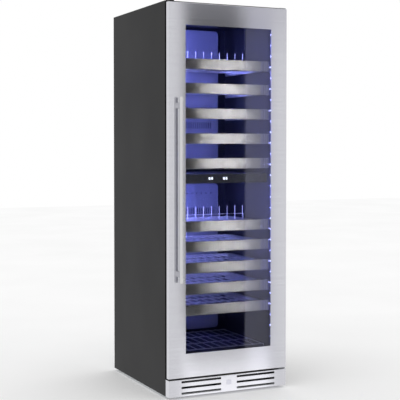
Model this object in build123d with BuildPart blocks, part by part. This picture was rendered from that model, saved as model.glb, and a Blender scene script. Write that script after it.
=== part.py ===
"""A tall free-standing dual-zone wine cooler: a foamed steel cabinet with ten sliding wire
shelves, a divider that carries the touch controls, a right-hinged glass door with a bar handle,
and a refrigeration base behind a slotted toe grille.

Millimetres, +Z up, the door faces -Y. The origin is on the floor, below the middle of the
overall box, handle and hinge cover included.
"""

import os
from math import cos, pi, radians, sin

from build123d import *

os.makedirs("parts", exist_ok=True)

# ---------------------------------------------------------------- driving dimensions
WIDTH = 595.0  # cabinet and door
CABINET_DEPTH = 645.0  # back panel to front flange
DOOR_DEPTH = 39.0  # front flange to door face, gasket included
HANDLE_REACH = 38.0  # door face to the front of the bar
CABINET_BOTTOM = 12.0  # underside of the base pan, on its feet
CABINET_TOP = 1764.0
SKIN = 1.5  # steel sheet and vacuum-formed liner

BASE_TOP = 150.0  # machine compartment below, foam above
FLOOR = 190.0  # cavity floor
CEILING = 1712.0
FOAM_TOP = 1756.0
CAVITY_HALF = 247.5
CAVITY_DEPTH = 500.0
DIVIDER_BOTTOM, DIVIDER_TOP = 955.0, 998.0
DIVIDER_SETBACK = 60.0  # its fascia, behind the front flange

SHELF_HALF = 236.0  # front strip, half length
STRIP_HEIGHT, STRIP_DEPTH = 48.0, 16.0
SHELF_SETBACK = 16.0
RACK_LENGTH = 417.0
WIRE_PITCH = 41.6
UPPER_DISPLAY, UPPER_FIRST, UPPER_PITCH = 1517.0, 1408.0, 112.7
LOWER_DISPLAY, LOWER_FIRST, LOWER_PITCH = 786.0, 694.0, 95.3
SLIDE_HEIGHT = 30.0
SLIDE_DROP = 12.0  # strip top down to the slide's top
FENCE_RISE = 52.0  # bottle rest above the strip top
FENCE_SETBACK = 231.0

DOOR_BOTTOM, DOOR_TOP = 95.0, 1755.0
STILE = 82.5
TOP_RAIL, BOTTOM_RAIL = 97.0, 107.0
PANE, PANE_OVERLAP = 4.0, 22.0
INNER_FRAME_CLEAR, SPACER_CLEAR = 16.0, 8.0  # set back outside the window edge
HINGE_INSET_X, HINGE_INSET_Y = 10.5, 21.0  # pin axis from the door's side and the front flange
PIN_RADIUS, PIN_LENGTH = 5.0, 16.0
RUNNING = 0.06  # radial clearance of a turning fit

BAR_RADIUS, BAR_X = 9.0, -248.5
BAR_BOTTOM, BAR_TOP = 519.0, 1340.0
POST_LEVELS = (559.0, 1302.0)
POST_WIDTH, POST_HEIGHT = 16.0, 26.0

GRILLE_TOP = 88.0
SLOT_LEVELS = (26.0, 51.5, 77.0)
SLOT_LENGTH, SLOT_HEIGHT, SLOT_X = 196.0, 9.5, 138.0

FOOT_X, FOOT_FRONT, FOOT_BACK = 245.0, -230.0, 315.0
FOOT_PAD_RADIUS, FOOT_STUD_RADIUS = 20.0, 5.0

# ---------------------------------------------------------------- derived planes
HALF = WIDTH / 2
BACK = (CABINET_DEPTH + DOOR_DEPTH + HANDLE_REACH) / 2
FRONT = BACK - CABINET_DEPTH
DOOR_FACE = FRONT - DOOR_DEPTH
CAVITY_BACK = FRONT + CAVITY_DEPTH
STRIP_FACE = FRONT + SHELF_SETBACK
STRIP_BACK = STRIP_FACE + STRIP_DEPTH
RACK_BACK = STRIP_BACK + RACK_LENGTH
HINGE_X, HINGE_Y = HALF - HINGE_INSET_X, FRONT - HINGE_INSET_Y
BAR_Y = DOOR_FACE - HANDLE_REACH + BAR_RADIUS
UPPER_TOPS = [UPPER_DISPLAY] + [UPPER_FIRST - UPPER_PITCH * i for i in range(4)]
LOWER_TOPS = [LOWER_DISPLAY] + [LOWER_FIRST - LOWER_PITCH * i for i in range(4)]
SHELF_TOPS = UPPER_TOPS + LOWER_TOPS
DISPLAY_SHELVES = (1, 6)

# Each zone's evaporator pocket in the back wall, and the duct cover in front of it.
POCKET_HALF, POCKET_DEPTH = 190.0, 65.0
POCKETS = ((1040.0, 1660.0), (230.0, 900.0))
DUCTS = ((1016.0, 1704.0), (205.0, 940.0))
DUCT_HALF, DUCT_PROUD = 200.0, 25.0
VENT_LEVELS = (1229.0, 800.0)
FAN_LEVELS = (1110.0, 640.0)
EVAPORATOR_LEVELS = (1450.0, 340.0)
DUCT_FACE = CAVITY_BACK - DUCT_PROUD


def block(x, y, z, mode=Mode.ADD):
    """Adds a box between two corners, each direction given as (low, high)."""
    spans = (x, y, z)
    middle = tuple((low + high) / 2 for low, high in spans)
    with Locations(middle):
        Box(*(high - low for low, high in spans), mode=mode)


def rod(start, length, radius, direction, mode=Mode.ADD):
    """Adds a round bar that starts at a point and runs along +X, +Y or +Z."""
    turns = {"x": (0, 90, 0), "y": (-90, 0, 0), "z": (0, 0, 0)}
    with Locations(start):
        Cylinder(radius, length, rotation=turns[direction],
                 align=(Align.CENTER, Align.CENTER, Align.MIN), mode=mode)


def save(solid, label):
    """Labels a finished piece and writes its STEP file."""
    solid.label = label
    export_step(solid, f"parts/{label}.step")


# ================================================================ cabinet shell
# Folded side panels with a front return, the top panel, and the vented back panel.
RETURN = 12.5
for side, label in ((-1, "side_panel_left"), (1, "side_panel_right")):
    with BuildPart() as side_panel:
        with BuildSketch(Plane.XY.offset(CABINET_BOTTOM)):
            with BuildLine():
                Polyline((side * HALF, FRONT), (side * HALF, BACK), (side * (HALF - SKIN), BACK),
                         (side * (HALF - SKIN), FRONT + SKIN),
                         (side * (HALF - RETURN), FRONT + SKIN),
                         (side * (HALF - RETURN), FRONT), close=True)
            make_face()
        extrude(amount=CABINET_TOP - SKIN - CABINET_BOTTOM)
    save(side_panel.part, label)

with BuildPart() as top_panel:
    block((-HALF, HALF), (FRONT, BACK), (CABINET_TOP - SKIN, CABINET_TOP))
    block((-HALF + RETURN, 255), (FRONT, FRONT + SKIN), (FOAM_TOP, CABINET_TOP - SKIN))
save(top_panel.part, "top_panel")

INLET_X, INLET_Z, GLAND_RADIUS = 230.0, 85.0, 11.0
with BuildPart() as back_panel:
    block((-HALF + SKIN, HALF - SKIN), (BACK - SKIN, BACK), (CABINET_BOTTOM, CABINET_TOP - SKIN))
    with BuildSketch(Plane.XZ.offset(-BACK)):
        with GridLocations(0, 24, 1, 4):
            with Locations((-60, 78)):
                with GridLocations(52, 0, 8, 1):
                    SlotOverall(38, 7)
    extrude(amount=2 * SKIN, both=True, mode=Mode.SUBTRACT)
    rod((INLET_X, BACK - 2 * SKIN, INLET_Z), 4 * SKIN, GLAND_RADIUS + 0.2, "y", Mode.SUBTRACT)
save(back_panel.part, "back_panel")

# Polyurethane foam block: everything between the skins and the liner, pockets included.
with BuildPart() as insulation:
    block((-HALF + SKIN, HALF - SKIN), (FRONT + SKIN, BACK - SKIN), (BASE_TOP, FOAM_TOP))
    block((-CAVITY_HALF - SKIN, CAVITY_HALF + SKIN), (FRONT + SKIN, CAVITY_BACK + SKIN),
          (FLOOR - SKIN, CEILING + SKIN), Mode.SUBTRACT)
    for low, high in POCKETS:
        block((-POCKET_HALF - SKIN, POCKET_HALF + SKIN),
              (CAVITY_BACK, CAVITY_BACK + POCKET_DEPTH + SKIN), (low - SKIN, high + SKIN),
              Mode.SUBTRACT)
save(insulation.part, "insulation")

# One vacuum-formed liner with a pocket per zone in its back wall.
with BuildPart() as liner:
    block((-CAVITY_HALF - SKIN, CAVITY_HALF + SKIN), (FRONT + SKIN, CAVITY_BACK + SKIN),
          (FLOOR - SKIN, CEILING + SKIN))
    for low, high in POCKETS:
        block((-POCKET_HALF - SKIN, POCKET_HALF + SKIN),
              (CAVITY_BACK, CAVITY_BACK + POCKET_DEPTH + SKIN), (low - SKIN, high + SKIN))
    block((-CAVITY_HALF, CAVITY_HALF), (FRONT, CAVITY_BACK), (FLOOR, CEILING), Mode.SUBTRACT)
    for low, high in POCKETS:
        block((-POCKET_HALF, POCKET_HALF), (FRONT, CAVITY_BACK + POCKET_DEPTH), (low, high),
              Mode.SUBTRACT)
save(liner.part, "liner")

# Painted ring that closes the foam at the front and takes the door gasket.
with BuildPart() as front_frame:
    with BuildSketch(Plane.XZ.offset(-FRONT)):
        with Locations((0, (BASE_TOP + FOAM_TOP) / 2)):
            Rectangle(WIDTH - 2 * RETURN, FOAM_TOP - BASE_TOP)
        with Locations((0, (FLOOR + CEILING) / 2)):
            Rectangle(2 * CAVITY_HALF, CEILING - FLOOR, mode=Mode.SUBTRACT)
    extrude(amount=-SKIN)
save(front_frame.part, "front_frame")

# ================================================================ cavity fittings
# Insulated divider between the zones, its fascia with the touch controls, and the lens.
FASCIA_DEPTH = 14.0
FASCIA_FACE = FRONT + DIVIDER_SETBACK
with BuildPart() as zone_divider:
    block((-CAVITY_HALF + 0.5, CAVITY_HALF - 0.5), (FASCIA_FACE + FASCIA_DEPTH, DUCT_FACE - 1),
          (DIVIDER_BOTTOM, DIVIDER_TOP))
    fillet(zone_divider.edges().filter_by(Axis.X).group_by(Axis.Y)[-1], 4)
save(zone_divider.part, "zone_divider")

with BuildPart() as control_panel:
    block((-CAVITY_HALF + 1, CAVITY_HALF - 1), (FASCIA_FACE, FASCIA_FACE + FASCIA_DEPTH),
          (DIVIDER_BOTTOM, DIVIDER_TOP))
    fillet(control_panel.edges().filter_by(Axis.X).group_by(Axis.Y)[0], 3)
    block((-CAVITY_HALF + 4, CAVITY_HALF - 4), (FASCIA_FACE + 3, FASCIA_FACE + FASCIA_DEPTH),
          (DIVIDER_BOTTOM + 3, DIVIDER_TOP - 3), Mode.SUBTRACT)
save(control_panel.part, "control_panel")

LENS_HALF, LENS_HEIGHT, LENS_THICKNESS = 232.0, 33.0, 1.5
with BuildPart() as display_lens:
    with BuildSketch(Plane.XZ.offset(-FASCIA_FACE)):
        with Locations((0, (DIVIDER_BOTTOM + DIVIDER_TOP) / 2)):
            RectangleRounded(2 * LENS_HALF, LENS_HEIGHT, 3)
    extrude(amount=LENS_THICKNESS)
save(display_lens.part, "display_lens")

# Raised covers over the evaporator pockets: rounded shells with a band of vertical slots,
# a row of small return holes, and a fan motor with its shaft behind.
VENT_PITCH, VENT_SLOT_WIDTH, VENT_SLOT_HEIGHT, VENT_COUNT = 10.3, 4.6, 34.0, 31
HOLE_RADIUS, HOLE_PITCH = 3.5, 26.0
MOTOR_RADIUS, SHAFT_RADIUS = 16.0, 3.0
MOTOR_FACE = CAVITY_BACK + 20
with BuildPart() as duct_covers:
    for (low, high), vent, fan in zip(DUCTS, VENT_LEVELS, FAN_LEVELS):
        with BuildSketch(Plane.XZ.offset(-CAVITY_BACK)):
            with Locations((0, (low + high) / 2)):
                RectangleRounded(2 * DUCT_HALF, high - low, 22)
        extrude(amount=DUCT_PROUD, taper=8)
        block((-DUCT_HALF + 6, DUCT_HALF - 6), (DUCT_FACE + 2, CAVITY_BACK + 1),
              (low + 6, high - 6), Mode.SUBTRACT)
        with BuildSketch(Plane.XZ.offset(-CAVITY_BACK)):
            with Locations((0, vent)):
                with GridLocations(VENT_PITCH, 0, VENT_COUNT, 1):
                    SlotOverall(VENT_SLOT_HEIGHT, VENT_SLOT_WIDTH, rotation=90)
            with Locations((0, vent + 90)):
                with GridLocations(HOLE_PITCH, 0, 13, 1):
                    Circle(HOLE_RADIUS)
        extrude(amount=DUCT_PROUD + 1, mode=Mode.SUBTRACT)
        # Fan bracket: a bridge across the cover carrying the motor and a forward shaft.
        block((-DUCT_HALF + 5, DUCT_HALF - 5), (CAVITY_BACK - 4, CAVITY_BACK), (fan - 9, fan + 9))
        rod((0, CAVITY_BACK - 4, fan), MOTOR_FACE - CAVITY_BACK + 4, MOTOR_RADIUS, "y")
        rod((0, MOTOR_FACE, fan), 14, SHAFT_RADIUS, "y")
save(duct_covers.part, "duct_covers")


def fan_blades(x, y, z, hub, tip, count, chord, tilt):
    """Adds a ring of flat pitched blades that turn about a line along Y."""
    for index in range(count):
        angle = 2 * pi * index / count
        radial = (cos(angle), 0, sin(angle))
        middle = (hub + tip) / 2 - 1
        place = Plane(origin=(x + middle * radial[0], y, z + middle * radial[2]),
                      x_dir=radial, z_dir=(0, 1, 0))
        with Locations(place.location * Rotation(tilt, 0, 0)):
            Box(tip - hub + 2, chord, 1.6)


FAN_TIP, FAN_HUB = 46.0, 19.0
for fan_level, label in zip(FAN_LEVELS, ("upper_fan", "lower_fan")):
    with BuildPart() as evaporator_fan:
        rod((0, MOTOR_FACE + 1, fan_level), 12, FAN_HUB, "y")
        fan_blades(0, MOTOR_FACE + 7, fan_level, FAN_HUB, FAN_TIP, 7, 15, 35)
        rod((0, MOTOR_FACE, fan_level), 16, SHAFT_RADIUS + RUNNING, "y", Mode.SUBTRACT)
    save(evaporator_fan.part, label)

# Finned evaporators: thin plates threaded on hairpin tubes.
FIN_THICKNESS = 1.0
with BuildPart() as evaporators:
    for low in EVAPORATOR_LEVELS:
        with Locations((0, CAVITY_BACK + 40, low + 60)):
            with GridLocations(13, 0, 22, 1):
                Box(FIN_THICKNESS, 36, 120)
        for row in range(5):
            for column in (-10, 10):
                rod((-150, CAVITY_BACK + 40 + column, low + 12 + 24 * row), 300, 4, "x")
save(evaporators.part, "evaporators")

# Light strips up both front corners of the cavity.
LED_DEPTH, LED_WIDTH, LED_SETBACK = 8.5, 12.0, 4.0
LED_BOTTOM, LED_TOP = 202.0, 1700.0
with BuildPart() as led_strips:
    for side in (-1, 1):
        edges = sorted((side * CAVITY_HALF, side * (CAVITY_HALF - LED_DEPTH)))
        block(edges, (FRONT + LED_SETBACK, FRONT + LED_SETBACK + LED_WIDTH), (LED_BOTTOM, LED_TOP))
save(led_strips.part, "led_strips")

# ================================================================ shelves and slides
# Three-part slides: a fixed channel on the wall, a middle bar, and the rack's own side bar.
SLIDE_GAP = 0.6
CHANNEL_WIDTH, MIDDLE_WIDTH, SIDE_BAR_WIDTH = 8.4, 7.4, 7.4
CHANNEL_INNER = CAVITY_HALF - 0.1 - CHANNEL_WIDTH
MIDDLE_INNER = CHANNEL_INNER - SLIDE_GAP - MIDDLE_WIDTH
SIDE_BAR_INNER = MIDDLE_INNER - SLIDE_GAP - SIDE_BAR_WIDTH
SLIDE_START, SLIDE_END = STRIP_BACK + 2, RACK_BACK - 10

with BuildPart() as slide_rails:
    for side in (-1, 1):
        for top in SHELF_TOPS:
            high = top - SLIDE_DROP
            x_span = sorted((side * CHANNEL_INNER, side * (CHANNEL_INNER + CHANNEL_WIDTH)))
            groove = sorted((side * CHANNEL_INNER, side * (CHANNEL_INNER + CHANNEL_WIDTH - SKIN)))
            block(x_span, (SLIDE_START, SLIDE_END), (high - SLIDE_HEIGHT, high))
            block(groove, (SLIDE_START, SLIDE_END), (high - SLIDE_HEIGHT + 3, high - 3),
                  Mode.SUBTRACT)
save(slide_rails.part, "slide_rails")

with BuildPart() as slide_middles:
    for side in (-1, 1):
        for top in SHELF_TOPS:
            high = top - SLIDE_DROP
            x_span = sorted((side * MIDDLE_INNER, side * (MIDDLE_INNER + MIDDLE_WIDTH)))
            block(x_span, (SLIDE_START, SLIDE_END), (high - SLIDE_HEIGHT + 4, high - 4))
save(slide_middles.part, "slide_middles")

# Welded wire racks: a mat of front and rear bars, four cross wires and a comb of
# front-to-back bottle wires, dropped between the two side bars that ride in the slides.
WIRE_RADIUS, CROSS_RADIUS = 2.5, 3.0
BAR_DEPTH, BAR_HEIGHT = 8.0, 12.0
WIRE_COUNT = 11
WIRE_DROP = 16.0  # strip top down to the bottle wires' axis
CROSS_DROP = WIRE_DROP + WIRE_RADIUS + CROSS_RADIUS - 1
MAT_HALF = SIDE_BAR_INNER - 0.2
for number, top in enumerate(SHELF_TOPS, start=1):
    with BuildPart() as rack:
        for side in (-1, 1):
            x_span = sorted((side * SIDE_BAR_INNER, side * (SIDE_BAR_INNER + SIDE_BAR_WIDTH)))
            block(x_span, (STRIP_BACK, RACK_BACK),
                  (top - SLIDE_DROP - SLIDE_HEIGHT, top - SLIDE_DROP))
        bar_z = (top - WIRE_DROP - BAR_HEIGHT + 2, top - WIRE_DROP + 2)
        block((-MAT_HALF, MAT_HALF), (STRIP_BACK, STRIP_BACK + BAR_DEPTH), bar_z)
        block((-MAT_HALF, MAT_HALF), (RACK_BACK - BAR_DEPTH, RACK_BACK), bar_z)
        with Locations((0, (STRIP_BACK + RACK_BACK) / 2, top - WIRE_DROP)):
            with GridLocations(WIRE_PITCH, 0, WIRE_COUNT, 1):
                Cylinder(WIRE_RADIUS, RACK_LENGTH - BAR_DEPTH, rotation=(90, 0, 0))
        with Locations((0, (STRIP_BACK + RACK_BACK) / 2, top - CROSS_DROP)):
            with GridLocations(0, 100, 1, 4):
                Cylinder(CROSS_RADIUS, 2 * MAT_HALF, rotation=(0, 90, 0))
    save(rack.part, f"shelf_{number:02d}_rack")

    # The strip is a folded channel, open to the back over the rack's front bar.
    with BuildPart() as strip:
        block((-SHELF_HALF, SHELF_HALF), (STRIP_FACE, STRIP_BACK), (top - STRIP_HEIGHT, top))
        fillet(strip.edges().filter_by(Axis.X).group_by(Axis.Y)[0], 2)
        block((-SHELF_HALF + SKIN, SHELF_HALF - SKIN), (STRIP_FACE + SKIN, STRIP_BACK),
              (top - STRIP_HEIGHT + SKIN, top - SKIN), Mode.SUBTRACT)
    save(strip.part, f"shelf_{number:02d}_front")

# The two display shelves also carry a row of uprights half way back, tied by one wire.
FENCE_Y = FRONT + FENCE_SETBACK
TIE_Y, TIE_RISE = FENCE_Y + 2.6, 14.0
TIE_HALF = SIDE_BAR_INNER - 8
for number in DISPLAY_SHELVES:
    top = SHELF_TOPS[number - 1]
    foot = top - WIRE_DROP + WIRE_RADIUS
    with BuildPart() as bottle_rest:
        with Locations((0, FENCE_Y, foot)):
            with GridLocations(WIRE_PITCH, 0, WIRE_COUNT, 1):
                Cylinder(2, top + FENCE_RISE - foot,
                         align=(Align.CENTER, Align.CENTER, Align.MIN))
        rod((-TIE_HALF, TIE_Y, top + TIE_RISE), 2 * TIE_HALF, 1.8, "x")
        for side in (-1, 1):
            rod((side * (TIE_HALF - 1), TIE_Y, foot - 4), top + TIE_RISE - foot + 5, 2.2, "z")
    save(bottle_rest.part, f"shelf_{number:02d}_bottle_rest")

# A low wire cradle for the bottles on the cavity floor.
with BuildPart() as floor_rack:
    with Locations((0, -40, FLOOR + 12)):
        with GridLocations(WIRE_PITCH, 0, WIRE_COUNT, 1):
            Cylinder(2, 400, rotation=(90, 0, 0))
    for y in (-238, -105, 30, 158):
        rod((-225, y, FLOOR + 9), 450, 2, "x")
        for x in (-223, 223):
            rod((x, y, FLOOR), 10, 2.5, "z")
save(floor_rack.part, "floor_rack")

# ================================================================ machine compartment
# Base pan with low flanges and four holes for the levelling feet.
PAN, PAN_FLANGE = 2.0, 30.0
FEET = [(x, y) for y in (FOOT_FRONT, FOOT_BACK) for x in (-FOOT_X, FOOT_X)]
with BuildPart() as base_pan:
    x_span, y_span = (-HALF + SKIN, HALF - SKIN), (FRONT + 2 * SKIN, BACK - SKIN)
    block(x_span, y_span, (CABINET_BOTTOM, CABINET_BOTTOM + PAN))
    for side in (-1, 1):
        flange = sorted((side * (HALF - SKIN), side * (HALF - SKIN - PAN)))
        block(flange, y_span, (CABINET_BOTTOM, CABINET_BOTTOM + PAN_FLANGE))
    for x, y in FEET:
        rod((x, y, CABINET_BOTTOM), PAN + 8, 9, "z")
        rod((x, y, CABINET_BOTTOM - 1), PAN + 12, FOOT_STUD_RADIUS + RUNNING, "z", Mode.SUBTRACT)
save(base_pan.part, "base_pan")

FOOT_NAMES = ("foot_front_left", "foot_front_right", "foot_back_left", "foot_back_right")
for (x, y), label in zip(FEET, FOOT_NAMES):
    with BuildPart() as foot:
        rod((x, y, 0), 6, FOOT_PAD_RADIUS, "z")
        chamfer(foot.edges().group_by(Axis.Z)[-1], 2)
        with BuildSketch(Plane.XY.offset(6)):
            with Locations((x, y)):
                RegularPolygon(10, 6)
        extrude(amount=5)
        rod((x, y, 11), 34, FOOT_STUD_RADIUS, "z")
    save(foot.part, label)

# Hermetic compressor on four rubber mounts.
COMPRESSOR_X, COMPRESSOR_Y, MOUNT_HEIGHT = 110.0, 230.0, 12.0
PLATE_Z = CABINET_BOTTOM + PAN + MOUNT_HEIGHT
with BuildPart() as compressor:
    with BuildSketch(Plane.XY.offset(PLATE_Z + 3)):
        with Locations((COMPRESSOR_X, COMPRESSOR_Y)):
            Ellipse(98, 72)
    extrude(amount=112)
    fillet(compressor.edges().group_by(Axis.Z)[-1], 34)
    fillet(compressor.edges().group_by(Axis.Z)[0], 12)
    block((COMPRESSOR_X - 90, COMPRESSOR_X + 90), (COMPRESSOR_Y - 55, COMPRESSOR_Y + 55),
          (PLATE_Z, PLATE_Z + 3))
    rod((COMPRESSOR_X - 116, COMPRESSOR_Y, 95), 30, 4, "x")
save(compressor.part, "compressor")

with BuildPart() as compressor_mounts:
    with Locations((COMPRESSOR_X, COMPRESSOR_Y, CABINET_BOTTOM + PAN)):
        with GridLocations(160, 90, 2, 2):
            Cylinder(10, MOUNT_HEIGHT, align=(Align.CENTER, Align.CENTER, Align.MIN))
save(compressor_mounts.part, "compressor_mounts")

# Condenser block and its fan behind the toe grille.
COIL_X, COIL_Y, COIL_Z = -110.0, -155.0, 80.0
COIL_WIDTH, COIL_HEIGHT, COIL_DEPTH = 240.0, 116.0, 50.0
with BuildPart() as condenser_coil:
    with Locations((COIL_X, COIL_Y, COIL_Z)):
        with GridLocations(10, 0, 25, 1):
            Box(FIN_THICKNESS, COIL_DEPTH, COIL_HEIGHT)
    for row in range(5):
        for column in (-14, 14):
            rod((COIL_X - COIL_WIDTH / 2 - 6, COIL_Y + column, COIL_Z - 44 + 22 * row),
                COIL_WIDTH + 12, 4, "x")
save(condenser_coil.part, "condenser_coil")

SHROUD_Y, SHROUD_DEPTH, CONDENSER_TIP = COIL_Y + COIL_DEPTH / 2 + 6, 26.0, 54.0
with BuildPart() as condenser_shroud:
    x_span = (COIL_X - COIL_WIDTH / 2, COIL_X + COIL_WIDTH / 2)
    z_span = (CABINET_BOTTOM + PAN, COIL_Z + COIL_HEIGHT / 2 + 8)
    block(x_span, (SHROUD_Y, SHROUD_Y + 2), z_span)
    rod((COIL_X, SHROUD_Y, COIL_Z), SHROUD_DEPTH, CONDENSER_TIP + 5, "y")
    rod((COIL_X, SHROUD_Y - 1, COIL_Z), SHROUD_DEPTH + 2, CONDENSER_TIP + 3, "y", Mode.SUBTRACT)
    # Three-arm spider that holds the motor behind the rotor.
    for arm in range(3):
        angle = 90 + 120 * arm
        reach = (CONDENSER_TIP + 4) / 2
        spot = (COIL_X + reach * cos(radians(angle)), SHROUD_Y + SHROUD_DEPTH - 2,
                COIL_Z + reach * sin(radians(angle)))
        with Locations(Location(spot, (0, -angle, 0))):
            Box(CONDENSER_TIP + 4, 4, 7)
    rod((COIL_X, SHROUD_Y + SHROUD_DEPTH - 6, COIL_Z), 30, 18, "y")
    rod((COIL_X, SHROUD_Y + 4, COIL_Z), 20, SHAFT_RADIUS, "y")
save(condenser_shroud.part, "condenser_shroud")

with BuildPart() as condenser_fan:
    rod((COIL_X, SHROUD_Y + 4, COIL_Z), 14, 20, "y")
    fan_blades(COIL_X, SHROUD_Y + 10, COIL_Z, 20, CONDENSER_TIP, 5, 16, 30)
    rod((COIL_X, SHROUD_Y + 2, COIL_Z), 20, SHAFT_RADIUS + RUNNING, "y", Mode.SUBTRACT)
save(condenser_fan.part, "condenser_fan")

# Terminal box with the mains gland, flush with the back panel.
with BuildPart() as mains_inlet:
    block((INLET_X - 34, INLET_X + 34), (BACK - SKIN - 42, BACK - SKIN), (50, 120))
    fillet(mains_inlet.edges().filter_by(Axis.Y), 4)
    rod((INLET_X, BACK - SKIN, INLET_Z), SKIN, GLAND_RADIUS, "y")
    rod((INLET_X, BACK - 20, INLET_Z), 20, 4.5, "y", Mode.SUBTRACT)
save(mains_inlet.part, "mains_inlet")

# Folded stainless toe grille: a face with two banks of three slots, and returns behind it.
GRILLE_BACK = FRONT - 3
with BuildPart() as toe_grille:
    block((-HALF + 0.5, HALF - 0.5), (DOOR_FACE, GRILLE_BACK), (CABINET_BOTTOM, GRILLE_TOP))
    fillet(toe_grille.edges().group_by(Axis.Y)[0], 2)
    block((-HALF + 0.5 + SKIN, HALF - 0.5 - SKIN), (DOOR_FACE + SKIN, GRILLE_BACK),
          (CABINET_BOTTOM + SKIN, GRILLE_TOP - SKIN), Mode.SUBTRACT)
    with BuildSketch(Plane.XZ.offset(-DOOR_FACE)):
        with Locations(*[(side * SLOT_X, level) for side in (-1, 1) for level in SLOT_LEVELS]):
            RectangleRounded(SLOT_LENGTH, SLOT_HEIGHT, 1)
    extrude(amount=-5 * SKIN, mode=Mode.SUBTRACT)
save(toe_grille.part, "toe_grille")

# ================================================================ hinges
# Two plates with a fixed pin each: the top one lies under the top panel, the lower one
# stands on a leg that is screwed to the cabinet front.
PLATE = 4.0
PLATE_X = (262.0, 295.0)
LOWER_PLATE_TOP = DOOR_BOTTOM - 2
with BuildPart() as hinge_brackets:
    block(PLATE_X, (FRONT - 33, FRONT - 0.2), (FOAM_TOP, FOAM_TOP + PLATE))
    block((PLATE_X[0], HALF - RETURN - 1), (FRONT - 0.2, FRONT + 40),
          (FOAM_TOP, FOAM_TOP + PLATE))
    rod((HINGE_X, HINGE_Y, FOAM_TOP - PIN_LENGTH), PIN_LENGTH, PIN_RADIUS, "z")
    block(PLATE_X, (FRONT - 33, FRONT - 0.2), (LOWER_PLATE_TOP - PLATE, LOWER_PLATE_TOP))
    block(PLATE_X, (FRONT - 2.5, FRONT - 0.2), (32, LOWER_PLATE_TOP - PLATE))
    rod((HINGE_X, HINGE_Y, LOWER_PLATE_TOP), PIN_LENGTH, PIN_RADIUS, "z")
save(hinge_brackets.part, "hinge_brackets")

# Cap over the unused hinge seat at the other top corner.
CAP_TOP = CABINET_TOP + 5
with BuildPart() as hinge_hole_cover:
    block((-287, -263), (FRONT - 22, FRONT + 18), (CABINET_TOP, CAP_TOP))
    block((-287, -263), (FRONT - 22, FRONT - 0.5), (FOAM_TOP + 1, CABINET_TOP))
    fillet(hinge_hole_cover.edges().group_by(Axis.Z)[-1], 2)
save(hinge_hole_cover.part, "hinge_hole_cover")

# ================================================================ door
# Folded stainless frame: outer walls, face, and a short lip round the glass opening.
WINDOW_HALF = HALF - STILE
WINDOW_BOTTOM, WINDOW_TOP = DOOR_BOTTOM + BOTTOM_RAIL, DOOR_TOP - TOP_RAIL
FRAME_BACK = DOOR_FACE + 23
LIP = 4.0
with BuildPart() as door_frame:
    block((-HALF, HALF), (DOOR_FACE, FRAME_BACK), (DOOR_BOTTOM, DOOR_TOP))
    fillet(door_frame.edges().group_by(Axis.Y)[0], 2)
    block((-HALF + SKIN, HALF - SKIN), (DOOR_FACE + LIP, FRAME_BACK),
          (DOOR_BOTTOM + SKIN, DOOR_TOP - SKIN), Mode.SUBTRACT)
    with BuildSketch(Plane.XZ.offset(-DOOR_FACE)):
        with Locations((0, (WINDOW_BOTTOM + WINDOW_TOP) / 2)):
            Rectangle(2 * WINDOW_HALF, WINDOW_TOP - WINDOW_BOTTOM)
    extrude(amount=-2 * LIP, mode=Mode.SUBTRACT)
    for low in (DOOR_BOTTOM - 1, DOOR_TOP - 4):
        rod((HINGE_X, HINGE_Y, low), 5, PIN_RADIUS + 0.5, "z", Mode.SUBTRACT)
save(door_frame.part, "door_frame")

# Moulded inner frame behind the glass, with a solid bush for each hinge pin.
INNER_FRAME_BACK = FRAME_BACK + 8
INNER_INSET = 8.0
BUSH_X = (HINGE_X - 11, HALF - SKIN - 0.3)
BUSH_HEIGHT = 22.0
with BuildPart() as door_inner_frame:
    block((-HALF + INNER_INSET, HALF - INNER_INSET), (FRAME_BACK, INNER_FRAME_BACK),
          (DOOR_BOTTOM + INNER_INSET, DOOR_TOP - INNER_INSET))
    block((-WINDOW_HALF - INNER_FRAME_CLEAR, WINDOW_HALF + INNER_FRAME_CLEAR),
          (FRAME_BACK, INNER_FRAME_BACK),
          (WINDOW_BOTTOM - INNER_FRAME_CLEAR, WINDOW_TOP + INNER_FRAME_CLEAR), Mode.SUBTRACT)
    for low in (DOOR_BOTTOM + SKIN, DOOR_TOP - SKIN - BUSH_HEIGHT):
        block(BUSH_X, (DOOR_FACE + LIP, FRAME_BACK + 2), (low, low + BUSH_HEIGHT))
        rod((HINGE_X, HINGE_Y, low - 1), BUSH_HEIGHT + 2, PIN_RADIUS + RUNNING, "z",
            Mode.SUBTRACT)
save(door_inner_frame.part, "door_inner_frame")

# Insulating glass: two panes held apart by a spacer just outside the visible opening.
PANE_X, PANE_LOW, PANE_HIGH = (WINDOW_HALF + PANE_OVERLAP, WINDOW_BOTTOM - PANE_OVERLAP,
                               WINDOW_TOP + PANE_OVERLAP)
OUTER_PANE_BACK = DOOR_FACE + LIP + PANE
INNER_PANE_FACE = FRAME_BACK - PANE
with BuildPart() as glazing_unit:
    for face in (DOOR_FACE + LIP, INNER_PANE_FACE):
        block((-PANE_X, PANE_X), (face, face + PANE), (PANE_LOW, PANE_HIGH))
    with BuildSketch(Plane.XZ.offset(-OUTER_PANE_BACK)):
        with Locations((0, (WINDOW_BOTTOM + WINDOW_TOP) / 2)):
            Rectangle(2 * PANE_X - 4, PANE_HIGH - PANE_LOW - 4)
            Rectangle(2 * (WINDOW_HALF + SPACER_CLEAR),
                      WINDOW_TOP - WINDOW_BOTTOM + 2 * SPACER_CLEAR, mode=Mode.SUBTRACT)
    extrude(amount=OUTER_PANE_BACK - INNER_PANE_FACE)
save(glazing_unit.part, "glazing_unit")

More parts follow.
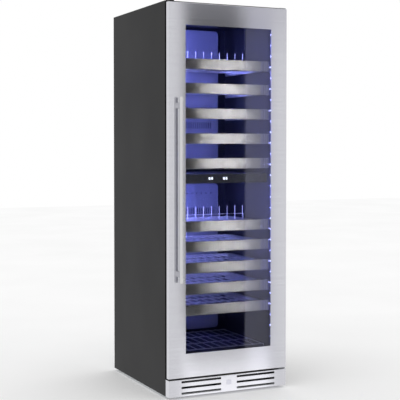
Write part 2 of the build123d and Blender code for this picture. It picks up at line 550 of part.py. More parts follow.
# Magnetic gasket, pushed into the inner frame all the way round.
GASKET_OUTER, GASKET_WIDTH = HALF - 10, 18.0
with BuildPart() as door_gasket:
    with BuildSketch(Plane.XZ.offset(-INNER_FRAME_BACK)):
        with Locations((0, (DOOR_BOTTOM + DOOR_TOP) / 2)):
            RectangleRounded(2 * GASKET_OUTER, DOOR_TOP - DOOR_BOTTOM - 20, 6)
            RectangleRounded(2 * (GASKET_OUTER - GASKET_WIDTH),
                             DOOR_TOP - DOOR_BOTTOM - 20 - 2 * GASKET_WIDTH, 3,
                             mode=Mode.SUBTRACT)
    extrude(amount=INNER_FRAME_BACK - FRONT + 0.4)
save(door_gasket.part, "door_gasket")

# Bar handle on two posts, each ending in a saddle against the bar.
with BuildPart() as handle_bar:
    rod((BAR_X, BAR_Y, BAR_BOTTOM), BAR_TOP - BAR_BOTTOM, BAR_RADIUS, "z")
    fillet(handle_bar.edges().filter_by(GeomType.CIRCLE), 1.5)
save(handle_bar.part, "handle_bar")

with BuildPart() as handle_posts:
    with BuildSketch(Plane.XZ.offset(-BAR_Y)):
        with Locations(*[(BAR_X, level) for level in POST_LEVELS]):
            RectangleRounded(POST_WIDTH, POST_HEIGHT, 4)
    extrude(amount=BAR_Y - DOOR_FACE)
    for level in POST_LEVELS:
        rod((BAR_X, BAR_Y, level - POST_HEIGHT), 2 * POST_HEIGHT, BAR_RADIUS, "z", Mode.SUBTRACT)
save(handle_posts.part, "handle_posts")
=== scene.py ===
"""Looks of the tall dual-zone wine cooler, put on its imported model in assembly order."""
import math

import bmesh
import bpy
import numpy as np
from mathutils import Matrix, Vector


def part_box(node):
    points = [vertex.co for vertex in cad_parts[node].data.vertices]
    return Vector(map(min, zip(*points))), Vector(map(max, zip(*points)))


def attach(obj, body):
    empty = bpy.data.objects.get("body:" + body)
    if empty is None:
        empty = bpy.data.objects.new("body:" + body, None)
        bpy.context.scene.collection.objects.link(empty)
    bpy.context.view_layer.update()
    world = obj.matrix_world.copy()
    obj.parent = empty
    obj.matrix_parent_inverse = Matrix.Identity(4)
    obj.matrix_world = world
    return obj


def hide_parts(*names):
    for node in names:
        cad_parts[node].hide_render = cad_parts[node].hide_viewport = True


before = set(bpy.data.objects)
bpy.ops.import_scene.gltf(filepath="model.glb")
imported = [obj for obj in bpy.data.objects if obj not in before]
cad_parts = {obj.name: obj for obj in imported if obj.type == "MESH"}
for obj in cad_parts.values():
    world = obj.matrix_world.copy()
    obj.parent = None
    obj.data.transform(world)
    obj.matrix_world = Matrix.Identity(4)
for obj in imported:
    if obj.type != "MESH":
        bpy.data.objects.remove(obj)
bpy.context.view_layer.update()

# ---------------------------------------------------------------------------
# Cabinet shell: folded side panels, top panel and the ring round the opening.
# Mild steel sheet, powder-coated satin black; the baked film leaves a faint
# orange peel and a soft broad sheen. The skins are riveted, then foamed.
# ---------------------------------------------------------------------------
MM = 0.001


def linear(code):
    """A six-digit sRGB hex value as linear RGBA: the standard two-part sRGB curve, inverted."""
    levels = np.array([int(code[i:i + 2], 16) for i in (0, 2, 4)]) / 255
    bright = ((levels + 0.055) / 1.055) ** 2.4
    return (*np.where(levels <= 0.04045, levels / 12.92, bright).tolist(), 1.0)


def put(tree, kind, feeds=(), out="", **settings):
    """Adds one shader node. settings are its properties and feeds its inputs, as values or as
    outputs of other nodes. Gives back its output called out, or the first one in use."""
    made = tree.nodes.new("ShaderNode" + kind)
    for name, value in settings.items():
        setattr(made, name, value)
    for name, value in dict(feeds).items():
        socket = next(port for port in made.inputs if port.name == name and port.enabled)
        if isinstance(value, bpy.types.NodeSocket):
            tree.links.new(value, socket)
        else:
            socket.default_value = value
    return next((port for port in made.outputs if port.enabled and port.name in (out or port.name)),
                None)


def finish(name):
    """A new empty material, as (material, node tree)."""
    material = bpy.data.materials.new(name)
    material.use_nodes = True
    material.node_tree.nodes.clear()
    return material, material.node_tree


def in_mm(tree, across, deep, tall):
    """Object coordinates in which one unit of pattern measures so many millimetres."""
    where = put(tree, "TexCoord", out="Object")
    scale = (1 / (across * MM), 1 / (deep * MM), 1 / (tall * MM))
    return put(tree, "Mapping", {"Vector": where, "Scale": scale})


def noise(tree, size_mm, detail=2.0):
    """Soft noise whose cells measure about so many millimetres in x, y and z."""
    return put(tree, "TexNoise", {"Vector": in_mm(tree, *size_mm), "Scale": 1.0,
                                  "Detail": detail})


def blend(tree, share, dark, light):
    """A colour from dark to light by the share."""
    return put(tree, "Mix", {"Factor": share, "A": linear(dark), "B": linear(light)},
               data_type="RGBA")


def ramp(tree, share, low, high):
    """A value from low to high as the share runs from nought to one."""
    return put(tree, "MapRange", {"Value": share, "To Min": low, "To Max": high})


def principled(tree, feeds):
    """The surface shader with these inputs, joined to the material's output."""
    put(tree, "OutputMaterial", {"Surface": put(tree, "BsdfPrincipled", feeds)})


def coat(material, *nodes):
    """Gives carried CAD nodes their finish."""
    for node in nodes:
        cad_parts[node].data.materials.clear()
        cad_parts[node].data.materials.append(material)


# Powder coat: peel cells about 2 mm across, and a slow change of sheen over the panel.
powder, tree = finish("powder_coated_steel_satin_black")
peel = noise(tree, (2.2, 2.2, 2.2), 3.0)
haze = noise(tree, (260, 260, 420), 4.0)
principled(tree, {
    "Base Color": blend(tree, haze, "121213", "19191B"),
    "Roughness": ramp(tree, haze, 0.42, 0.56),
    "Specular IOR Level": 0.14,
    "Normal": put(tree, "Bump", {"Height": peel, "Strength": 0.15, "Distance": 0.05 * MM})})
coat(powder, "side_panel_left", "side_panel_right", "top_panel", "front_frame")

# ---------------------------------------------------------------------------
# Back panel: hot-dip galvanised steel sheet with a punched vent field, held by
# pan-head screws down both sides. The zinc shows crystal spangle 8 to 15 mm wide.
# ---------------------------------------------------------------------------
zinc, tree = finish("galvanised_steel_spangled")
spangle = put(tree, "TexVoronoi", {"Vector": in_mm(tree, 11, 11, 11), "Scale": 1.0}, out="Color")
facet = put(tree, "SeparateXYZ", {"Vector": spangle}, out="X")
stain = noise(tree, (150, 150, 150), 5.0)
principled(tree, {
    "Base Color": blend(tree, facet, "9A9EA1", "B9BDC0"),
    "Metallic": 0.9,
    "Roughness": ramp(tree, stain, 0.3, 0.6),
    "Normal": put(tree, "Bump", {"Height": facet, "Strength": 0.1, "Distance": 0.05 * MM})})
coat(zinc, "back_panel", "base_pan")


def surface(name, points, material, body, sharp=35, loop=False):
    """A mesh of like shells from points laid out as (shells, rows, columns, 3). Quads join
    neighbouring rows and columns and the columns close round. The last row joins the first
    when loop is set, and otherwise a flat face closes each end."""
    points = np.asarray(points, float)
    shells, rows, columns = points.shape[:3]
    index = np.arange(shells * rows * columns).reshape(shells, rows, columns)
    beside = np.roll(index, -1, axis=2)
    above = np.roll(index, -1, axis=1)
    quads = np.stack([index, beside, np.roll(above, -1, axis=2), above], axis=-1)
    faces = (quads if loop else quads[:, :-1]).reshape(-1, 4).tolist()
    if not loop:
        faces += index[:, 0, ::-1].tolist() + index[:, -1].tolist()
    mesh = bpy.data.meshes.new(name)
    mesh.from_pydata(points.reshape(-1, 3).tolist(), [], faces)
    shape = bmesh.new()
    shape.from_mesh(mesh)
    bmesh.ops.recalc_face_normals(shape, faces=shape.faces)
    shape.to_mesh(mesh)
    shape.free()
    mesh.polygons.foreach_set("use_smooth", np.ones(len(mesh.polygons), bool))
    mesh.set_sharp_from_angle(angle=math.radians(sharp))
    mesh.materials.append(material)
    piece = bpy.data.objects.new(name, mesh)
    bpy.context.scene.collection.objects.link(piece)
    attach(piece, body)
    return piece


def facing(local, normal):
    """Turns (right, up, out) coordinates so that out points along +Y or -X."""
    right, up, out = np.moveaxis(local, -1, 0)
    turned = {"+y": (-right, out, up), "-x": (-out, -right, up)}
    return np.stack(turned[normal], axis=-1)


def metal(name, cloud_mm, detail, dark, light, smooth, rough):
    """Plated or plain metal. One noise, so many millimetres across in x, y and z, drifts the
    colour from dark to light and the roughness from smooth to rough."""
    material, tree = finish(name)
    cloud = noise(tree, cloud_mm, detail)
    principled(tree, {
        "Base Color": blend(tree, cloud, dark, light),
        "Metallic": 1.0,
        "Roughness": ramp(tree, cloud, smooth, rough)})
    return material


def screws(name, spots, normal, radius, body):
    """Pan-head screws. Each is rings about its axis: a straight rim, a low dome, and a recess
    whose radius swings four times round by a cosine, as a cross does."""
    turn = np.linspace(0, 2 * np.pi, 24, endpoint=False)
    cross = 0.36 + 0.13 * np.cos(4 * turn)
    # Radius and height of each ring, as shares of the head's radius.
    share = [1.0, 1.0, 0.86, 0.62, cross, 0.7 * cross, 0.3 * cross]
    height = [-0.3, 0.3, 0.5, 0.6, 0.62, 0.2, 0.1]
    ring = np.stack([np.stack([r * np.cos(turn), r * np.sin(turn), h + 0 * turn], axis=-1)
                     for r, h in zip(share, height)])
    heads = facing(ring * radius, normal)[None] + np.asarray(spots)[:, None, None, :]
    steel = metal("zinc_plated_steel_screw", (3, 3, 3), 3.0, "8E9090", "B4B6B4", 0.22, 0.42)
    piece = surface(name, heads, steel, body, sharp=50)
    return piece


SCREW_RADIUS, SCREW_EDGE, SCREW_END = 4.2 * MM, 9 * MM, 30 * MM
SCREWS_PER_SIDE = 9
back_low, back_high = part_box("back_panel")
levels = np.linspace(back_low.z + SCREW_END, back_high.z - SCREW_END, SCREWS_PER_SIDE)
screws("back_panel_screws", [(side * (back_high.x - SCREW_EDGE), back_high.y, level)
                             for side in (-1, 1) for level in levels], "+y", SCREW_RADIUS, "root")

# ---------------------------------------------------------------------------
# Insulation: polyurethane foam injected between the skins and the liner, where
# it sets to fine cream cells with a yellowed skin.
# ---------------------------------------------------------------------------
foam, tree = finish("polyurethane_foam")
cells = put(tree, "TexVoronoi", {"Vector": in_mm(tree, 3, 3, 3), "Scale": 1.0}, out="Distance")
principled(tree, {
    "Base Color": blend(tree, cells, "D9C58B", "EFE3B8"),
    "Roughness": 0.85,
    "Normal": put(tree, "Bump", {"Height": cells, "Strength": 0.5, "Distance": 0.4 * MM})})
coat(foam, "insulation")

# ---------------------------------------------------------------------------
# Liner: one vacuum-formed sheet of high-impact polystyrene, dark grey, with the
# slightly glossy, gently uneven face that the sheet takes from the mould.
# ---------------------------------------------------------------------------


def moulded(name, dark, light, rough, grain_mm, relief):
    """Injection or vacuum moulded plastic: a spark-eroded grain of the given size and relief,
    and a slow drift of tone and sheen from handling."""
    material, tree = finish(name)
    grain = noise(tree, (grain_mm, grain_mm, grain_mm))
    drift = noise(tree, (90, 90, 90), 3.0)
    principled(tree, {
        "Base Color": blend(tree, drift, dark, light),
        "Roughness": ramp(tree, drift, rough - 0.05, rough + 0.07),
        "IOR": 1.53,
        "Normal": put(tree, "Bump", {"Height": grain, "Strength": 0.3,
                                     "Distance": relief * MM})})
    return material


coat(moulded("polystyrene_liner_vacuum_formed", "232327", "2B2B30", 0.38, 6.0, 0.05), "liner")

# ---------------------------------------------------------------------------
# Zone divider with its fascia: black ABS mouldings, and a printed acrylic lens
# over the touch keys. Two lit seven-segment readouts show through the lens.
# ---------------------------------------------------------------------------
black_abs = moulded("abs_moulded_black", "0C0C0D", "131315", 0.5, 1.2, 0.04)
gloss_abs = moulded("abs_polished_black", "26262A", "2C2C30", 0.1, 40.0, 0.02)
coat(moulded("abs_moulded_grey", "4A4A50", "54545A", 0.5, 1.4, 0.05), "zone_divider")
coat(gloss_abs, "control_panel")

lens, tree = finish("acrylic_lens_back_printed")
smear = noise(tree, (30, 30, 12), 4.0)
principled(tree, {
    "Base Color": linear("26262A"), "IOR": 1.49, "Coat Weight": 0.5, "Coat Roughness": 0.03,
    "Roughness": ramp(tree, smear, 0.04, 0.12)})
coat(lens, "display_lens")

lit, tree = finish("display_segment_lit_white")
glow = noise(tree, (4, 4, 4))
principled(tree, {
    "Base Color": linear("DDE4FF"), "Roughness": 0.4,
    "Emission Color": blend(tree, glow, "E6EBFF", "FFFFFF"),
    "Emission Strength": 6.0})


def corners(steps):
    """The angles of four quarter circles in turn, with the signs of x and z in each."""
    quarter = np.linspace(0, np.pi / 2, steps)
    angle = np.concatenate([quarter + turns * np.pi / 2 for turns in range(4)])
    return angle, np.repeat([1, -1, -1, 1], steps), np.repeat([1, 1, -1, -1], steps)


def slab(low, high, corner, arris, steps=4):
    """A flat plate between two corner points, facing -Y, as (rows, columns, 3). Its outline is
    a rectangle whose corners are quarter circles, and four rows along Y inset the outline by
    the arris at both faces."""
    low, high = np.asarray(low, float), np.asarray(high, float)
    angle, sign_x, sign_z = corners(steps)
    middle, half = (low + high) / 2, (high - low) / 2
    rows = []
    for y, inset in ((low[1], arris), (low[1] + arris, 0), (high[1] - arris, 0), (high[1], arris)):
        x = middle[0] + sign_x * (half[0] - corner) + (corner - inset) * np.cos(angle)
        z = middle[2] + sign_z * (half[2] - corner) + (corner - inset) * np.sin(angle)
        rows.append(np.stack([x, y + 0 * x, z], axis=-1))
    return np.stack(rows)


# Segments by their place in a digit: (across, up, lying down?), in units of digit half sizes.
SEGMENTS = {"a": (0, 1, True), "b": (1, 0.5, False), "c": (1, -0.5, False), "d": (0, -1, True),
            "e": (-1, -0.5, False), "f": (-1, 0.5, False), "g": (0, 0, True)}
DIGITS = {"5": "afgcd", "6": "afgcde"}
DIGIT_WIDE, DIGIT_HIGH, DIGIT_STEP = 7.5 * MM, 9.5 * MM, 12 * MM
STROKE, STROKE_PROUD, STROKE_SUNK, STROKE_ARRIS = 1.6 * MM, 0.25 * MM, 0.1 * MM, 0.08 * MM
# Each stroke is cut back at both ends, which leaves a gap at the corners of a digit.
STROKE_CUT, STROKE_CORNER = STROKE * 0.4, STROKE * 0.45
# Figures by the place of their middle across the lens.
READOUTS = {-46 * MM: "55", 28 * MM: "65"}
lens_low, lens_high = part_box("display_lens")
lens_middle = (lens_low.z + lens_high.z) / 2
segments = []
for centre, figures in READOUTS.items():
    for place, figure in enumerate(figures):
        digit_x = centre + (place - 0.5) * DIGIT_STEP
        for across, up, lying in (SEGMENTS[letter] for letter in DIGITS[figure]):
            x = digit_x + across * DIGIT_WIDE / 2
            z = lens_middle + up * DIGIT_HIGH / 2
            half = (DIGIT_WIDE / 2 if lying else DIGIT_HIGH / 4) - STROKE_CUT
            reach = (half, STROKE / 2) if lying else (STROKE / 2, half)
            segments.append(slab((x - reach[0], lens_low.y - STROKE_PROUD, z - reach[1]),
                                 (x + reach[0], lens_low.y + STROKE_SUNK, z + reach[1]),
                                 STROKE_CORNER, STROKE_ARRIS))
readouts = surface("display_readouts", np.stack(segments), lit, "root")

# ---------------------------------------------------------------------------
# Duct covers, evaporators and their fans. The covers are light grey moulded
# polystyrene; the evaporators are aluminium fins on tube; the rotors black ABS.
# ---------------------------------------------------------------------------
coat(moulded("polystyrene_cover_grey", "8E8F96", "999AA2", 0.42, 1.5, 0.04), "duct_covers")
coat(black_abs, "upper_fan", "lower_fan")
coat(metal("aluminium_fin_stock", (8, 1, 1), 3.0, "A9ABAE", "CDCFD1", 0.25, 0.45),
     "evaporators", "condenser_coil")

# ---------------------------------------------------------------------------
# Light strips: extruded frosted polycarbonate channels, clipped up both front
# corners. The one on the hinge side carries the diodes, 50 mm apart on a board.
# ---------------------------------------------------------------------------
frosted, tree = finish("polycarbonate_channel_frosted")
frost = noise(tree, (2, 2, 2))
principled(tree, {
    "Base Color": blend(tree, frost, "3C3C4E", "484860"),
    "Roughness": ramp(tree, frost, 0.3, 0.45),
    "IOR": 1.58, "Subsurface Weight": 0.2})
coat(frosted, "led_strips")

diode, tree = finish("diode_lit_blue_white")
core = noise(tree, (2, 2, 2))
principled(tree, {
    "Base Color": linear("D0D4FF"), "Roughness": 0.3,
    "Emission Color": blend(tree, core, "8E92FF", "C4C8FF"),
    "Emission Strength": 14.0})
# Lamps of the studio stand for the light of the row, which is too fine to sample.
diode.cycles.emission_sampling = "NONE"

DIODE_PITCH, DIODE_SIZE, DIODE_PROUD, CHANNEL_DEEP = 50 * MM, 7 * MM, 0.5 * MM, 8.5 * MM
# The lowest diode's height above the strip's foot, in pitches.
FIRST_DIODE = 0.75
# Rings of the dome, as (share of its radius, share of its height).
DIODE_RINGS = ((1, -0.2), (1, 0.3), (0.86, 0.7), (0.5, 0.94), (0.12, 1.0))
strip_low, strip_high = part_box("led_strips")
turn = np.linspace(0, 2 * np.pi, 12, endpoint=False)
dome = np.stack([np.stack([r * DIODE_SIZE / 2 * np.cos(turn), r * DIODE_SIZE / 2 * np.sin(turn),
                           out * DIODE_PROUD + 0 * turn], axis=-1)
                 for r, out in DIODE_RINGS])
count = int((strip_high.z - strip_low.z) / DIODE_PITCH)
levels = strip_low.z + DIODE_PITCH * (np.arange(count) + FIRST_DIODE)
lit_face = strip_high.x - CHANNEL_DEEP
diode_y = (strip_low.y + strip_high.y) / 2
spots = np.stack([lit_face + 0 * levels, diode_y + 0 * levels, levels], axis=-1)
diodes = surface("led_diodes", facing(dome, "-x")[None] + spots[:, None, None, :], diode, "root")
diodes.visible_diffuse = False
diodes.visible_shadow = False

# ---------------------------------------------------------------------------
# Slides: rolled zinc-plated channels on the cavity walls and the middle bars
# that run in them, with the dull bluish plating of drawer hardware.
# ---------------------------------------------------------------------------
coat(metal("zinc_plated_steel_passivated", (40, 60, 12), 4.0, "808388", "A6A9AD", 0.28, 0.46),
     "slide_rails", "slide_middles", "hinge_brackets")

# ---------------------------------------------------------------------------
# Shelves: welded steel wire racks, bright chrome-plated, each behind a folded
# strip of stainless steel that is brushed from end to end.
# ---------------------------------------------------------------------------
chrome = metal("chrome_plated_wire", (14, 30, 14), 2.0, "D4D6DC", "E8E9EE", 0.24, 0.36)


def brushed(name, lengthwise_mm, crosswise_mm, dark, light, rough):
    """Brushed metal. The belt leaves hairlines a tenth of a millimetre apart, drawn here as
    streaks of about 3 mm, which is as fine as a view of the whole door can show. One noise,
    long in the brushing's direction, drifts colour and roughness by a few hundredths round
    rough; a finer one lifts the surface. Hairlines spread a reflection across them."""
    material, tree = finish(name)
    streak = put(tree, "TexNoise", {"Vector": in_mm(tree, *lengthwise_mm), "Scale": 1.0,
                                    "Detail": 4.0, "Roughness": 0.6})
    fine = noise(tree, crosswise_mm)
    principled(tree, {
        "Base Color": blend(tree, streak, dark, light),
        "Metallic": 1.0, "Anisotropic": 0.95, "Anisotropic Rotation": 0.25,
        "Roughness": ramp(tree, streak, rough - 0.02, rough + 0.03),
        "Normal": put(tree, "Bump", {"Height": fine, "Strength": 0.12,
                                     "Distance": 0.03 * MM})})
    return material


strip_steel = brushed("stainless_steel_strip_brushed", (160, 160, 3), (90, 90, 1.5),
                      "C6C2BE", "DAD6D2", 0.12)
for number in range(1, 11):
    coat(chrome, f"shelf_{number:02d}_rack")
    coat(strip_steel, f"shelf_{number:02d}_front")
coat(chrome, "shelf_01_bottle_rest", "shelf_06_bottle_rest", "floor_rack")

# ---------------------------------------------------------------------------
# Machine compartment: enamelled compressor on rubber mounts, condenser with its
# shroud and fan, mains inlet box, and four levelling feet in moulded nylon.
# ---------------------------------------------------------------------------
enamel, tree = finish("enamel_black_sprayed")
spatter = noise(tree, (4, 4, 4), 3.0)
principled(tree, {
    "Base Color": blend(tree, spatter, "0E0E0F", "181819"),
    "Roughness": ramp(tree, spatter, 0.22, 0.34),
    "Normal": put(tree, "Bump", {"Height": spatter, "Strength": 0.2, "Distance": 0.1 * MM})})
coat(enamel, "compressor")
coat(moulded("nitrile_rubber_moulded", "111112", "18181A", 0.75, 0.8, 0.05), "compressor_mounts")
coat(black_abs, "condenser_shroud", "condenser_fan", "mains_inlet", "hinge_hole_cover")
nylon = moulded("nylon_moulded_black", "151517", "202022", 0.55, 0.9, 0.06)
coat(nylon, "foot_front_left", "foot_front_right", "foot_back_left", "foot_back_right")

# ---------------------------------------------------------------------------
# Toe grille: a folded stainless cover with two banks of slots, brushed sideways
# and clipped to the base, with a small blank name plate between the banks.
# ---------------------------------------------------------------------------
door_steel = brushed("stainless_steel_door_brushed", (220, 220, 3), (120, 120, 1.5),
                     "C4C4CA", "D6D6DC", 0.14)
coat(door_steel, "toe_grille")
grille_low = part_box("toe_grille")[0]
PLATE_WIDE, PLATE_LOW, PLATE_HIGH = 24 * MM, 45 * MM, 66 * MM
PLATE_PROUD, PLATE_SUNK, PLATE_CORNER, PLATE_ARRIS = 0.9 * MM, 0.1 * MM, 1.5 * MM, 0.3 * MM
plate_points = slab((-PLATE_WIDE / 2, grille_low.y - PLATE_PROUD, PLATE_LOW),
                    (PLATE_WIDE / 2, grille_low.y + PLATE_SUNK, PLATE_HIGH),
                    PLATE_CORNER, PLATE_ARRIS)
plate_face = brushed("aluminium_plate_satin", (30, 30, 1.5), (20, 20, 1), "BCBCC6", "CACAD4", 0.15)
name_plate = surface("grille_name_plate", plate_points[None], plate_face, "root")

# ---------------------------------------------------------------------------
# Door frame: four lengths of folded stainless steel, welded at the corners and
# brushed, over a black moulded inner frame that holds the glass and the gasket.
# ---------------------------------------------------------------------------
coat(door_steel, "door_frame")
coat(black_abs, "door_inner_frame")

# ---------------------------------------------------------------------------
# Insulating glass: two tempered panes, the outer one grey-tinted, bonded to a
# black spacer bar with sealant all round, behind the frame's edge.
# ---------------------------------------------------------------------------


def pane_glass(name, tint, shade):
    """Float glass with faint wipe marks. Light for shadows passes straight through, tinted by
    the shade."""
    material, tree = finish(name)
    wipe = noise(tree, (60, 60, 240), 4.0)
    solid = put(tree, "BsdfPrincipled", {
        "Base Color": linear(tint), "IOR": 1.5, "Transmission Weight": 1.0,
        "Roughness": put(tree, "MapRange", {"Value": wipe, "From Min": 0.5, "To Min": 0.0,
                                            "To Max": 0.02})})
    mixer = tree.nodes.new("ShaderNodeMixShader")
    tree.links.new(put(tree, "LightPath", out="Is Shadow Ray"), mixer.inputs[0])
    tree.links.new(solid, mixer.inputs[1])
    tree.links.new(put(tree, "BsdfTransparent", {"Color": linear(shade)}), mixer.inputs[2])
    put(tree, "OutputMaterial", {"Surface": mixer.outputs[0]})
    return material


# The outer pane takes the front of the unit's box and the inner one the back.
unit_low, unit_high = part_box("glazing_unit")
PANE_THICK, PANE_CORNER, PANE_ARRIS = 4 * MM, 3 * MM, 0.5 * MM
outer_low, outer_high = tuple(unit_low), (unit_high.x, unit_low.y + PANE_THICK, unit_high.z)
inner_low, inner_high = (unit_low.x, unit_high.y - PANE_THICK, unit_low.z), tuple(unit_high)
outer_pane = surface("outer_pane", slab(outer_low, outer_high, PANE_CORNER, PANE_ARRIS)[None],
                     pane_glass("glass_tempered_grey", "D8D8DE", "E4E4E8"), "door")
inner_pane = surface("inner_pane", slab(inner_low, inner_high, PANE_CORNER, PANE_ARRIS)[None],
                     pane_glass("glass_tempered_clear", "F0F3F2", "F2F4F4"), "door")
for pane in (outer_pane, inner_pane):
    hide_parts("glazing_unit")


def ring(half_x, low_z, high_z, radius, profile, steps=6):
    """A closed section carried round a rectangle with rounded corners, as (rows, columns, 3).
    The section is (inward, y) pairs. Inward takes that much off the corner radius, so every
    line of the section runs parallel to the outer one."""
    inward, y = np.asarray(profile, float).T
    angle, sign_x, sign_z = (column[:, None] for column in corners(steps))
    x = sign_x * (half_x - radius) + (radius - inward) * np.cos(angle)
    z = (low_z + high_z) / 2 + sign_z * ((high_z - low_z) / 2 - radius)
    z = z + (radius - inward) * np.sin(angle)
    return np.stack([x, y + 0 * x, z], axis=-1)


SPACER_WIDE, SPACER_CORNER, SEALANT = 8 * MM, 12 * MM, 2 * MM
spacer_y = (unit_low.y + PANE_THICK, unit_high.y - PANE_THICK)
spacer_section = [(0, spacer_y[0]), (SPACER_WIDE, spacer_y[0]), (SPACER_WIDE, spacer_y[1]),
                  (0, spacer_y[1])]
spacer = surface("pane_spacer", ring(unit_high.x - SEALANT, unit_low.z + SEALANT,
                                     unit_high.z - SEALANT, SPACER_CORNER,
                                     spacer_section)[None], black_abs, "door", loop=True)
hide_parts("glazing_unit")

# ---------------------------------------------------------------------------
# Door gasket: extruded soft PVC, welded into a ring. A dart holds it to the inner
# frame, a pleated bellows follows the door, and a flat pouch holds the magnet.
# ---------------------------------------------------------------------------
gasket_low, gasket_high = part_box("door_gasket")
GASKET_WIDE, GASKET_CORNER = 18 * MM, 20 * MM
# Section points as (share of width, share of depth from the inner frame to the cabinet).
GASKET_SECTION = [(0.0, 0.0), (0.04, 0.1), (0.2, 0.18), (0.22, 0.3), (0.08, 0.4), (0.08, 0.5),
                  (0.2, 0.58), (0.2, 0.64), (0.05, 0.72), (0.05, 0.95), (0.12, 1.0), (0.88, 1.0),
                  (0.95, 0.95), (0.95, 0.72), (0.8, 0.64), (0.8, 0.58), (0.92, 0.5), (0.92, 0.4),
                  (0.78, 0.3), (0.8, 0.18), (0.96, 0.1), (1.0, 0.0)]
gasket_section = [(across * GASKET_WIDE,
                   gasket_low.y + deep * (gasket_high.y - gasket_low.y))
                  for across, deep in GASKET_SECTION]
pvc = moulded("pvc_extruded_soft_black", "131314", "1A1A1B", 0.6, 1.0, 0.04)
gasket = surface("gasket_bellows", ring(gasket_high.x, gasket_low.z, gasket_high.z,
                                        GASKET_CORNER, gasket_section)[None],
                 pvc, "door", loop=True)
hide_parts("door_gasket")

# ---------------------------------------------------------------------------
# Handle: a stainless tube with spun ends on two turned posts. It is polished
# after brushing, so it carries one bright line along its length.
# ---------------------------------------------------------------------------
bar_low, bar_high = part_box("handle_bar")
bar_radius = (bar_high.x - bar_low.x) / 2
bar_x, bar_y = (bar_low.x + bar_high.x) / 2, (bar_low.y + bar_high.y) / 2
polished = brushed("stainless_steel_tube_polished", (3, 3, 180), (2, 2, 100),
                   "C6C6C8", "D8D8DA", 0.16)
# The ends are rounded by a quarter circle, in rows that close in on each end.
END_ROUND = 3 * MM
curve = np.linspace(0, np.pi / 2, 6)
end_share = 1 - (END_ROUND / bar_radius) * (1 - np.sin(curve))
rise = END_ROUND * (1 - np.cos(curve))
radii = np.concatenate([end_share, end_share[::-1]]) * bar_radius
heights = np.concatenate([bar_low.z + rise, bar_high.z - rise[::-1]])
turn = np.linspace(0, 2 * np.pi, 48, endpoint=False)
bar_points = np.stack([bar_x + radii[:, None] * np.cos(turn), bar_y + radii[:, None] * np.sin(turn),
                       heights[:, None] + 0 * turn], axis=-1)
bar = surface("handle_tube", bar_points[None], polished, "door", sharp=60)
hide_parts("handle_bar")
coat(polished, "handle_posts")

# ---------------------------------------------------------------------------
# Studio: a paper sweep in even white surroundings. Five upright cards show only
# as reflections, and six lamps each light some pieces only: three for the diodes,
# two for what the shelf fronts mirror and one for the fascia.
# ---------------------------------------------------------------------------
scene = bpy.context.scene
scene.view_settings.view_transform = "Standard"
scene.cycles.use_denoising = True
scene.cycles.max_bounces = 14
scene.cycles.transmission_bounces = 10
scene.cycles.glossy_bounces = 5
scene.cycles.diffuse_bounces = 3
scene.cycles.transparent_max_bounces = 12
scene.cycles.sample_clamp_indirect = 30.0
world = bpy.data.worlds.new("white_surroundings")
scene.world = world
world.use_nodes = True
world.node_tree.nodes.clear()
put(world.node_tree, "OutputWorld", {"Surface": put(world.node_tree, "Background", {
    "Color": linear("FFFFFF"), "Strength": 1.0})})


def card(name, points, material):
    """A flat card of the studio between four points."""
    mesh = bpy.data.meshes.new(name)
    mesh.from_pydata(points, [], [(0, 1, 2, 3)])
    mesh.materials.append(material)
    piece = bpy.data.objects.new(name, mesh)
    scene.collection.objects.link(piece)
    return piece


sweep_paper, tree = finish("paper_sweep_white")
fibre = noise(tree, (900, 900, 900))
principled(tree, {
    "Base Color": blend(tree, fibre, "F6F6F6", "FFFFFF"),
    "Roughness": 0.9, "Specular IOR Level": 0.0})
FLOOR_REACH = 14.0
sweep = card("floor_sweep", [(-FLOOR_REACH, -FLOOR_REACH, 0), (FLOOR_REACH, -FLOOR_REACH, 0),
                             (FLOOR_REACH, FLOOR_REACH, 0), (-FLOOR_REACH, FLOOR_REACH, 0)],
             sweep_paper)
sweep.visible_glossy = False
sweep.visible_transmission = False


def glowing(name, code, strength):
    """A studio card that gives off an even light of its own."""
    material, tree = finish(name)
    put(tree, "OutputMaterial", {"Surface": put(tree, "Emission", {"Color": linear(code),
                                                                  "Strength": strength})})
    return material


CARD_Y = -3.323


def upright(name, x_span, z_span, material):
    """A card across the studio, three metres in front of the door. It shows in reflections
    and through glass only: not to the camera, not to matt surfaces and not as a shadow."""
    (left, right), (low, high) = x_span, z_span
    piece = card(name, [(left, CARD_Y, low), (right, CARD_Y, low), (right, CARD_Y, high),
                        (left, CARD_Y, high)], material)
    piece.visible_camera = False
    piece.visible_diffuse = False
    piece.visible_shadow = False


# The cards stand where the door mirrors them. The black one keeps the glass clear over the left
# of the window and the dim one beside it lays a veil over the right. Above them a grey and a
# pale one shade the top rail, and a bright one below them lights the bottom rail.
WINDOW_LEFT, VEIL_LEFT, WINDOW_RIGHT = 1.151, 1.678, 1.903
WINDOW_Z, ABOVE_Z, BELOW_Z = (-0.5, 2.07), (2.07, 2.8), (-1.6, -0.5)
RAIL_LEFT, CORNER_LEFT, CORNER_RIGHT = 1.12, 1.615, 2.6
upright("window_card_black", (WINDOW_LEFT, VEIL_LEFT), WINDOW_Z,
        glowing("card_black", "000000", 0.0))
upright("window_card_dim", (VEIL_LEFT, WINDOW_RIGHT), WINDOW_Z,
        glowing("card_dim", "CACADA", 1.0))
upright("top_rail_card", (RAIL_LEFT, CORNER_LEFT), ABOVE_Z, glowing("card_grey", "9A9A9E", 1.0))
upright("top_corner_card", (CORNER_LEFT, CORNER_RIGHT), ABOVE_Z,
        glowing("card_pale", "DCDCE0", 1.0))
upright("bottom_rail_card", (WINDOW_LEFT, WINDOW_RIGHT), BELOW_Z,
        glowing("card_bright", "FFFFFF", 2.0))


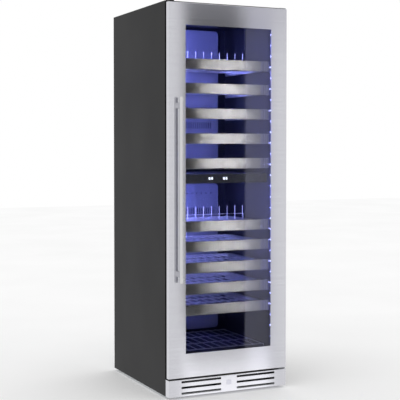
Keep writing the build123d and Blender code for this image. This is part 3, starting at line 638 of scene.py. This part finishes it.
def lamp(name, spot, turn, size, power, colour, receivers):
    """A rectangular soft lamp, aimed along its own -Z and turned by degrees about x, y and z.
    It lights only the pieces of the collection receivers."""
    light = bpy.data.lights.new(name, "AREA")
    light.shape = "RECTANGLE"
    light.size, light.size_y = size
    light.energy = power
    light.color = linear(colour)[:3]
    stand = bpy.data.objects.new(name, light)
    stand.location = spot
    stand.rotation_euler = [math.radians(angle) for angle in turn]
    scene.collection.objects.link(stand)
    stand.visible_camera = False
    stand.light_linking.receiver_collection = receivers
    return light


def lit_group(name, *nodes):
    """A collection of carried CAD nodes for a lamp to light."""
    group = bpy.data.collections.new(name)
    for node in nodes:
        group.objects.link(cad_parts[node])
    return group


# A graded lamp in the plane of the cards lights only the shelf fronts. Its ramp runs from dark
# at the left edge to bright at the right, a little past the end of the black card. A power of
# pi times the area gives a radiance of one for the ramp to multiply. Without multiple importance
# sampling no bounced ray lands on it.
fronts = [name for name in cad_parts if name.startswith("shelf_") and name.endswith("_front")]
fascia = ["control_panel", "display_lens"]
shelf_fronts = lit_group("shelf_fronts", *fronts)
GRADED_RIGHT, GRADED_LOW, GRADED_HIGH = 1.71, -0.6, 2.2
graded_wide, graded_tall = GRADED_RIGHT - WINDOW_LEFT, GRADED_HIGH - GRADED_LOW
graded = lamp("shelf_lamp_graded",
              ((WINDOW_LEFT + GRADED_RIGHT) / 2, CARD_Y, (GRADED_LOW + GRADED_HIGH) / 2),
              (90, 0, 0), (graded_wide, graded_tall), math.pi * graded_wide * graded_tall,
              "FFFAF4", shelf_fronts)
graded.use_nodes = True
graded.cycles.use_multiple_importance_sampling = False
tree = graded.node_tree
tree.nodes.clear()
across = put(tree, "SeparateXYZ", {"Vector": put(tree, "NewGeometry", out="Parametric")}, out="X")
slope = put(tree, "MapRange", {"Value": across, "From Min": 0.22, "From Max": 0.92,
                               "To Min": 0.02, "To Max": 16.0},
            interpolation_type="SMOOTHSTEP")
put(tree, "OutputLight", {"Surface": put(tree, "Emission", {"Strength": slope})})

# The diodes also shine back off the door's inner frame onto the hinge ends of the fronts.
BOUNCE_SPOT, BOUNCE_SIZE, BOUNCE_POWER = (0.2215, -0.287, 0.93), (45 * MM, 1.45), 0.12
lamp("frame_bounce", BOUNCE_SPOT, (90, 0, 0), BOUNCE_SIZE, BOUNCE_POWER, "B0B4E8", shelf_fronts)

# Three narrow lamps stand along the light strip behind the handle stile. The key aims back and
# the fill across, and neither lights the shelf fronts or the fascia, which the strip's edge
# shades. The sparkle lights only the wires of the shelves.
cavity = lit_group("cavity_walls", *(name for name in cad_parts
                                     if name not in fronts + fascia))
wires = lit_group("wire_racks", *(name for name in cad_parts
                                  if name.startswith("shelf_") and name not in fronts))
ROW_HIGH, ROW_LOW, ROW_WIDE, ROW_CLEAR = strip_high.z, 0.36, 6 * MM, 4 * MM
# Name, power, aim towards the back, spread (both in degrees), colour and pieces lit.
ROW_LAMPS = [("key", 20.0, 80, 90, "7078E4", cavity), ("fill", 24.0, 5, 115, "7078E4", cavity),
             ("sparkle", 40.0, 50, 150, "A8A8EE", wires)]
for name, power, aim, spread, colour, receivers in ROW_LAMPS:
    row = lamp(f"diode_row_{name}", (-(lit_face - ROW_CLEAR), diode_y, (ROW_HIGH + ROW_LOW) / 2),
               (0, -90, aim), (ROW_HIGH - ROW_LOW, ROW_WIDE), power, colour, receivers)
    row.spread = math.radians(spread)

# A plain lamp in front of the door lights only the fascia.
FASCIA_SPOT, FASCIA_TURN, FASCIA_SIZE = (-0.5, -1.8, 0.98), -18, (0.6, 0.3)
FASCIA_POWER = 125.0
lamp("fascia_lamp", FASCIA_SPOT, (90, 0, FASCIA_TURN), FASCIA_SIZE, FASCIA_POWER, "FFFFFF",
     lit_group("fascia", *fascia))

# Camera: chest height, to the left of the door. The small shift lets it look down less, so the
# uprights stay nearly upright.
CAMERA_SPOT, CAMERA_DIP, CAMERA_TURN = (-2.040, -4.331, 1.116), 1.837, 25.30
CAMERA_LENS, CAMERA_SENSOR, CAMERA_SHIFT = 89.82, 36, -0.05
eye = bpy.data.cameras.new("studio_camera")
eye.sensor_width = CAMERA_SENSOR
eye.lens = CAMERA_LENS
eye.shift_y = CAMERA_SHIFT
camera = bpy.data.objects.new("studio_camera", eye)
camera.location = CAMERA_SPOT
camera.rotation_euler = (math.radians(90 - CAMERA_DIP), 0, math.radians(-CAMERA_TURN))
scene.collection.objects.link(camera)
scene.camera = camera
